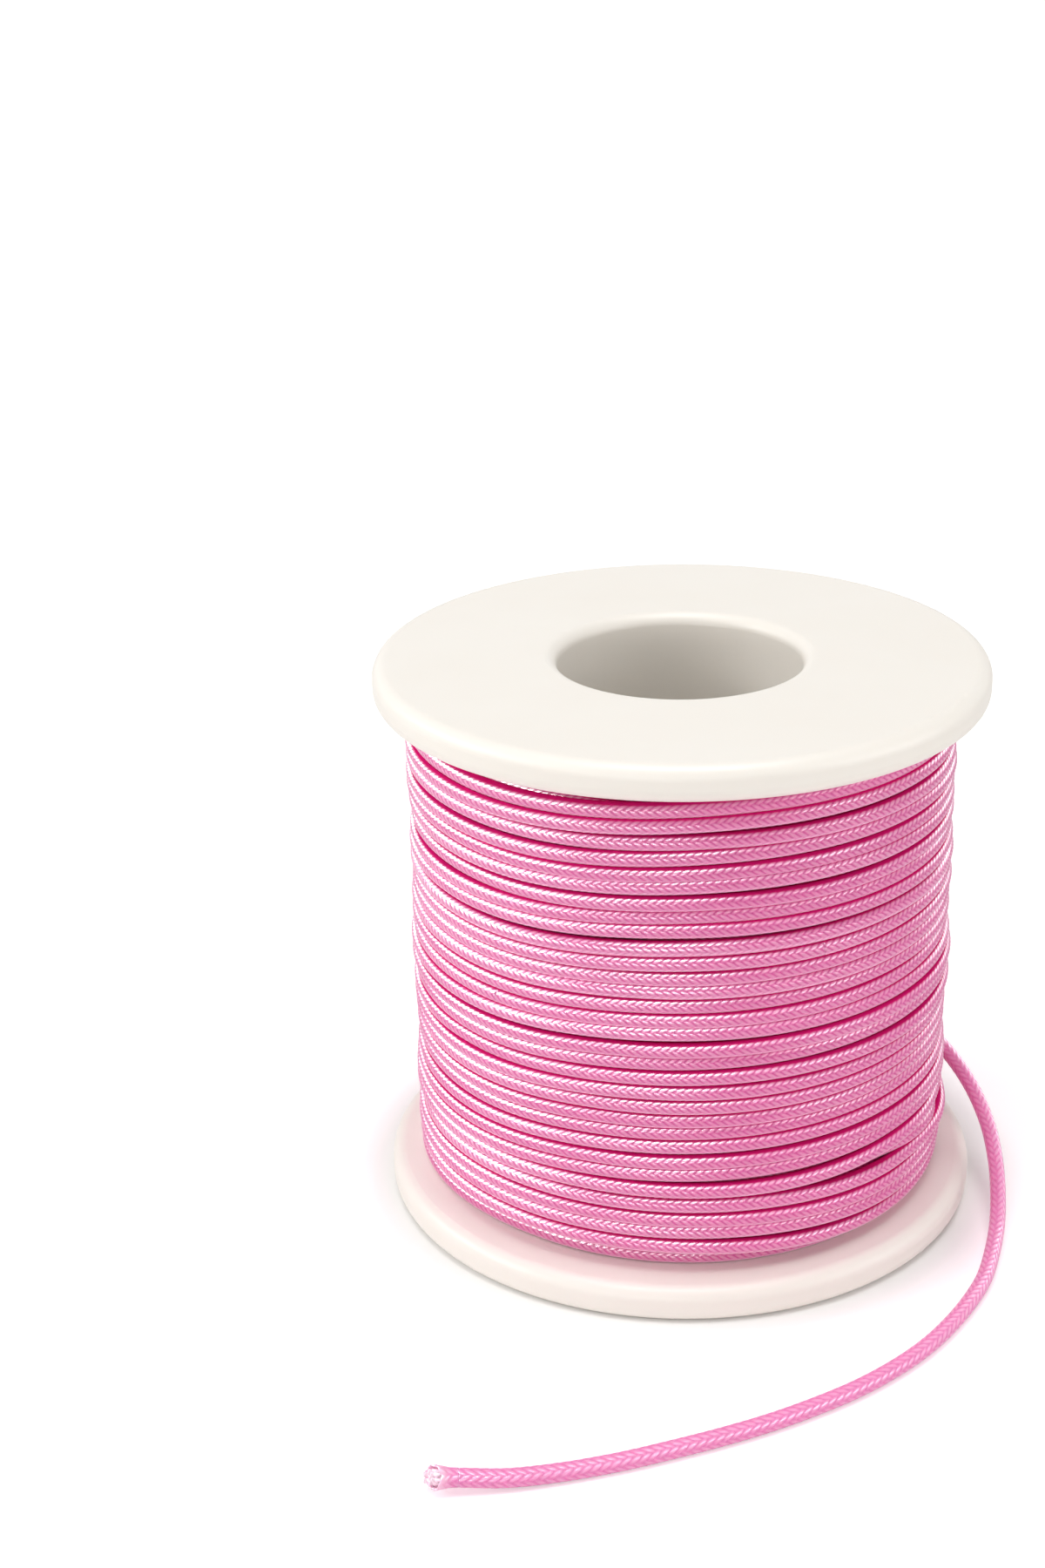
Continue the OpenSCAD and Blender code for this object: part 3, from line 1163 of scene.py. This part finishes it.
@dataclass(frozen=True)
class TwoToned:
    """A plain polymer whose colour drifts between two close tones.

    Attributes:
        name: Name of the material.
        colour: Colour where the pattern is 0.
        tone: Colour where the pattern is 1.
        ior: Index of the polymer.
        roughness: Its middle roughness.
        gloss: How far the roughness falls and rises with the pattern, or nothing if it is even.
        size: Size of the pattern in millimetres.
        detail: Finer octaves in the pattern.
        drawn: Scale along each axis, less than 1 where the pattern is drawn out.
        grain: Size of a relief of its own in millimetres, or 0 if the pattern is the relief.
        relief: Strength of the relief, and its depth in millimetres, or nothing if it is smooth.
        glow: Share of the light that goes through, and its depth in millimetres.
        glow_tint: Reach of red, green and blue in it.
    """

    name: str
    colour: str
    tone: str
    ior: float
    roughness: float
    size: float
    gloss: tuple[float, float] | None = None
    detail: float = 2.0
    drawn: tuple[float, float, float] | None = None
    grain: float = 0.0
    relief: tuple[float, float] | None = None
    glow: tuple[float, float] | None = None
    glow_tint: tuple[float, float, float] = (1.0, 1.0, 1.0)

    def material(self) -> Material:
        """Makes the material.

        Returns:
            The material.
        """
        material, tree = new_material(self.name)
        where = add_node(tree, "TexCoord").outputs["Object"]
        along = where
        if self.drawn:
            along = add_node(tree, "Mapping", {"Vector": where, "Scale": self.drawn})
        pattern = add_node(tree, "TexNoise", {
            "Vector": along, "Scale": 1 / (self.size * MM), "Detail": self.detail})
        colour = add_node(tree, "Mix", {
            "Factor": pattern, 6: linear(self.colour), 7: linear(self.tone)}, data_type="RGBA")
        inputs = {"Base Color": colour.outputs[2], "Roughness": self.roughness, "IOR": self.ior}
        if self.gloss:
            fall, rise = self.gloss
            inputs["Roughness"] = add_node(tree, "MapRange", [
                pattern, 0.3, 0.7, self.roughness - fall, self.roughness + rise])
        if self.relief:
            raised = pattern
            if self.grain:
                raised = add_node(tree, "TexNoise", {
                    "Vector": where, "Scale": 1 / (self.grain * MM), "Detail": 1.0})
            strength, depth = self.relief
            inputs["Normal"] = add_node(tree, "Bump", {
                "Height": raised, "Strength": strength, "Distance": depth * MM})
        if self.glow:
            share, depth = self.glow
            inputs |= {"Subsurface Weight": share, "Subsurface Radius": self.glow_tint,
                       "Subsurface Scale": depth * MM}
        surface = add_node(tree, "BsdfPrincipled", inputs)
        add_node(tree, "OutputMaterial", {"Surface": surface})
        return material


@dataclass(frozen=True)
class CutPolyester(TwoToned):
    """Bare ends of the core's polyester filament, cut with scissors: pale, matt and streaked."""

    name: str = "polyester_filament_cut"
    colour: str = "#F2BAD6"
    tone: str = "#FBE9F1"
    ior: float = 1.54
    roughness: float = 0.55
    size: float = 0.05
    relief: tuple[float, float] = (0.6, 0.03)
    glow: tuple[float, float] = (0.3, 0.3)
    glow_tint: tuple[float, float, float] = (1.0, 0.7, 0.8)


@dataclass(frozen=True)
class MouldedPolystyrene(TwoToned):
    """Injection moulded ivory polystyrene: even, satin, with the faintest flow in its sheen."""

    name: str = "polystyrene_moulded_ivory"
    colour: str = "#F0EBE3"
    tone: str = "#EDE7DE"
    ior: float = 1.59
    roughness: float = 0.38
    gloss: tuple[float, float] = (0.04, 0.05)
    # The melt's flow shows as clouds of about a centimetre
    size: float = 100 / 9
    detail: float = 3.0
    grain: float = 0.12
    relief: tuple[float, float] = (0.15, 0.005)
    glow: tuple[float, float] = (0.12, 1.5)
    glow_tint: tuple[float, float, float] = (1.0, 0.9, 0.8)


@dataclass(frozen=True)
class ExtrudedPolystyrene(TwoToned):
    """Extruded off-white polystyrene tube: matt, with fine die lines drawn along it."""

    name: str = "polystyrene_extruded"
    colour: str = "#E9E3DA"
    tone: str = "#DDD5C9"
    ior: float = 1.59
    roughness: float = 0.55
    size: float = 0.25
    # The lines run along the axis, so the pattern is drawn out forty times along it
    drawn: tuple[float, float, float] = (1.0, 1.0, 0.025)
    relief: tuple[float, float] = (0.4, 0.02)


@dataclass(frozen=True)
class AdhesiveFilm(TwoToned):
    """Cast polypropylene film with a rubber adhesive: straw coloured, glossy, streaked around."""

    name: str = "polypropylene_film_cast"
    colour: str = "#E8DDB9"
    tone: str = "#DECFA2"
    ior: float = 1.49
    roughness: float = 0.22
    gloss: tuple[float, float] = (0.05, 0.08)
    size: float = 0.8
    # The film runs around the tube, so its streaks change along the axis only
    drawn: tuple[float, float, float] = (0.03, 0.03, 1.0)


# --- The spool under the last passes -----------------------------------------------------------


@dataclass
class Former:
    """The spool that carries the cord: its two flanges, its core tube and the starter tape."""

    flange_finish: MouldedPolystyrene = MouldedPolystyrene()
    tube_finish: ExtrudedPolystyrene = ExtrudedPolystyrene()
    tape_finish: AdhesiveFilm = AdhesiveFilm()

    def build(self) -> None:
        """Dresses the nodes, whose shapes stay."""
        flange = self.flange_finish.material()
        finishes = {"upper_flange": flange, "lower_flange": flange,
                    "core_tube": self.tube_finish.material(),
                    "starter_tape": self.tape_finish.material()}
        for name, finish in finishes.items():
            redress(name, finish)


@dataclass
class InnerLayers:
    """The layers of cord, pressed into ribs. The last passes stand for the outer two."""

    count: int = 9

    def build(self, finish: Material) -> None:
        """Dresses the layers, whose shapes stay."""
        for number in range(1, self.count + 1):
            redress(f"cord_layer_{number}", finish)


# --- The studio --------------------------------------------------------------------------------


@dataclass
class Viewpoint:
    """Where the camera stands and looks.

    Attributes:
        place: Place of the lens in metres.
        down: Angle by which it looks down, in degrees.
        yaw: Angle by which it looks to the right, in degrees.
        roll: Angle by which it is rolled, in degrees.
        lens: Focal length in millimetres.
        sensor: Width of its sensor in millimetres.
        nearest: Distance in metres from which it sees.
    """

    place: tuple[float, float, float] = (0.0, -0.23191, 0.13811)
    down: float = 22.2535
    yaw: float = -3.8540
    roll: float = -1.3187
    lens: float = 57.868
    sensor: float = 36.0
    nearest: float = 0.01

    def build(self) -> Object:
        """Makes the camera and gives it to the scene.

        Returns:
            The camera's object.
        """
        down, yaw, roll = (math.radians(a) for a in (self.down, self.yaw, self.roll))
        flat = math.cos(down)
        forward = Vector((math.sin(yaw) * flat, math.cos(yaw) * flat, -math.sin(down)))
        level = Vector((math.cos(yaw), -math.sin(yaw), 0))
        up = level.cross(forward)
        right = level * math.cos(roll) + up * math.sin(roll)
        top = up * math.cos(roll) - level * math.sin(roll)
        data = bpy.data.cameras.new("camera")
        data.lens = self.lens
        data.sensor_width = self.sensor
        data.clip_start = self.nearest
        camera = bpy.data.objects.new("camera", data)
        turn = Matrix((right, top, -forward)).transposed().to_4x4()
        camera.matrix_world = Matrix.Translation(self.place) @ turn
        bpy.context.scene.collection.objects.link(camera)
        bpy.context.scene.camera = camera
        return camera


@dataclass
class SoftLamp:
    """A softbox that faces the spool.

    Attributes:
        name: Name of the lamp.
        place: Its place in metres.
        width: Its width in metres.
        height: Its height in metres.
        power: Its power in watts.
        mirrored_only: Whether it is only mirrored and lights nothing.
        aim: Place that it faces, in metres.
    """

    name: str
    place: tuple[float, float, float]
    width: float
    height: float
    power: float
    mirrored_only: bool = False
    aim: tuple[float, float, float] = (0.0, 0.0, 0.03)

    def build(self) -> Object:
        """Makes the lamp.

        Returns:
            The lamp's object.
        """
        data = bpy.data.lights.new(self.name, "AREA")
        data.shape = "RECTANGLE"
        data.size, data.size_y = self.width, self.height
        data.energy = self.power
        lamp = bpy.data.objects.new(self.name, data)
        lamp.location = self.place
        lamp.visible_diffuse = not self.mirrored_only
        facing = Vector(self.aim) - Vector(self.place)
        lamp.rotation_euler = facing.to_track_quat("-Z", "Y").to_euler()
        bpy.context.scene.collection.objects.link(lamp)
        return lamp


@dataclass
class Studio:
    """White table, even light all round and softboxes from the upper left.

    The strips light nothing: they are what the cord mirrors as dashes.

    Attributes:
        table_size: Side of the table in metres.
        table: Colour of its card.
        sky: Strength of the room as a light.
        near_glow: What brings the table to white around the spool, for the camera alone.
        near: Distances in metres from the axis between which that sets in, past the shadow.
        far_glow: What it takes besides further out, where the lamps do not reach.
        far: Distances in metres between which that sets in.
        lamps: The lamps.
    """

    table_size: float = 8.0
    table: str = "#F7F6F5"
    sky: float = 0.4
    near_glow: float = 0.34
    near: tuple[float, float] = (0.0302, 0.037)
    far_glow: float = 0.60
    far: tuple[float, float] = (0.2, 0.7)
    lamps: tuple = (
        SoftLamp("top_lamp", (0.0, -0.10, 0.62), 0.40, 0.30, 1.75),
        SoftLamp("key_lamp", (-0.56, -0.10, 0.32), 0.60, 0.18, 1.6),
        SoftLamp("low_lamp", (-0.14, -0.60, 0.10), 0.50, 0.07, 0.5),
        SoftLamp("fill_lamp", (0.52, -0.16, 0.14), 0.40, 0.30, 0.8),
        SoftLamp("top_strip", (-0.06, -0.30, 0.54), 0.40, 0.12, 8.0, mirrored_only=True),
        SoftLamp("front_strip", (-0.16, -0.58, 0.11), 0.50, 0.08, 4.5, mirrored_only=True),
        SoftLamp("left_strip", (-0.54, -0.06, 0.24), 0.80, 0.16, 34.0, mirrored_only=True),
        SoftLamp("right_strip", (0.50, -0.30, 0.30), 0.50, 0.16, 3.0, mirrored_only=True),
        SoftLamp("left_rim_strip", (-0.24, 0.56, 0.08), 0.44, 0.16, 3.2, mirrored_only=True),
        SoftLamp("right_rim_strip", (0.38, 0.46, 0.18), 0.50, 0.20, 2.5, mirrored_only=True),
    )

    def card(self) -> Material:
        """Makes the table's white card, which keeps the spool's shadow.

        Returns:
            The material.
        """
        material, tree = new_material("white_card")
        seen = add_node(tree, "LightPath").outputs["Is Camera Ray"]
        where = add_node(tree, "TexCoord").outputs["Object"]
        away = add_node(tree, "VectorMath", [where], operation="LENGTH").outputs["Value"]
        near = add_node(tree, "MapRange", [away, *self.near, 0.0, self.near_glow],
                        interpolation_type="SMOOTHSTEP")
        far = add_node(tree, "MapRange", [away, *self.far, 0.0, self.far_glow],
                       interpolation_type="SMOOTHSTEP")
        level = add_node(tree, "Math", [near, far], operation="ADD")
        glow = add_node(tree, "Math", [seen, level], operation="MULTIPLY")
        white = add_node(tree, "BsdfDiffuse", {"Color": linear(self.table)})
        light = add_node(tree, "Emission", {"Strength": glow})
        both = add_node(tree, "AddShader", [white, light])
        add_node(tree, "OutputMaterial", {"Surface": both})
        return material

    def room(self) -> bpy.types.World:
        """Makes the room, white to the camera and in what is mirrored.

        Returns:
            The world.
        """
        world = bpy.data.worlds.new("white_room")
        world.use_nodes = True
        tree = world.node_tree
        tree.nodes.clear()
        seen = add_node(tree, "LightPath").outputs
        mirrored = add_node(tree, "Math", [seen["Is Camera Ray"], seen["Is Glossy Ray"]],
                            operation="MAXIMUM")
        strength = add_node(tree, "Mix", {"Factor": mirrored, 2: self.sky, 3: 1.0})
        sky = add_node(tree, "Background", {"Color": linear("#FFFFFF"), "Strength": strength})
        add_node(tree, "OutputWorld", {"Surface": sky})
        return world

    def build(self, cords: list[Object]) -> None:
        """Makes the table, the room and the lamps.

        Args:
            cords: Pieces that the strips are mirrored in.
        """
        bpy.ops.object.select_all(action="DESELECT")
        bpy.ops.mesh.primitive_plane_add(size=self.table_size, location=(0, 0, 0))
        table = bpy.context.active_object
        table.name = "table"
        table.data.materials.append(self.card())
        bpy.context.scene.world = self.room()
        glossy = bpy.data.collections.new("glossy_cord")
        for cord in cords:
            glossy.objects.link(cord)
        for lamp in self.lamps:
            made = lamp.build()
            if lamp.mirrored_only:
                made.light_linking.receiver_collection = glossy


def main() -> None:
    """Builds the spool around its frame and lights it."""
    logging.basicConfig(level=logging.INFO, format="%(name)s: %(message)s")
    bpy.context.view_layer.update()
    bpy.context.scene.view_settings.view_transform = "Standard"
    Viewpoint().build()
    wound = WaxedPolyesterBraid()
    # Painted light: the loose end is painted paler than the winding. Little light gets to the inner
    # turns, so they are painted darker as shade
    free = WaxedPolyesterBraid("polyester_braid_free", "#F097C6", "#EC8BBE", "#E57FB6")
    # Painted shade: a darker copy of the dye for the turns beneath, with little wax and no fuzz
    shaded = WaxedPolyesterBraid("polyester_braid_shaded", "#D8478F", "#D0307F", "#C01C6C",
                                 wax=0.1, fuzz=0.0)
    free_finish = free.material(BraidMap.FREE)
    loose = LooseEnd()
    tube_low, tube_high = spans("core_tube")
    winding = Winding(low=tube_low[2], high=tube_high[2], bed=spans("cord_layer_7")[1][0],
                      leaving=loose.leaving())
    cords, outward = winding.build(wound.material(BraidMap.WOUND), shaded.material(BraidMap.WOUND))
    line = loose.line(outward)
    last = float(line.stitches[-1])
    tip_finish = free.material(BraidMap.FREE, (last + 0.6, last + 2.2))
    ends = CutTip(line, loose.open_diameter).build(tip_finish, CutPolyester().material())
    free_cord = loose.build(free_finish, line)
    loose.declare(line)
    Former().build()
    # Painted shade: the inner layers take the darker copy of the dye
    InnerLayers().build(shaded.material(BraidMap.SPOOL))
    Studio().build([*cords, free_cord, *ends])


if __name__ == "__main__":
    main()
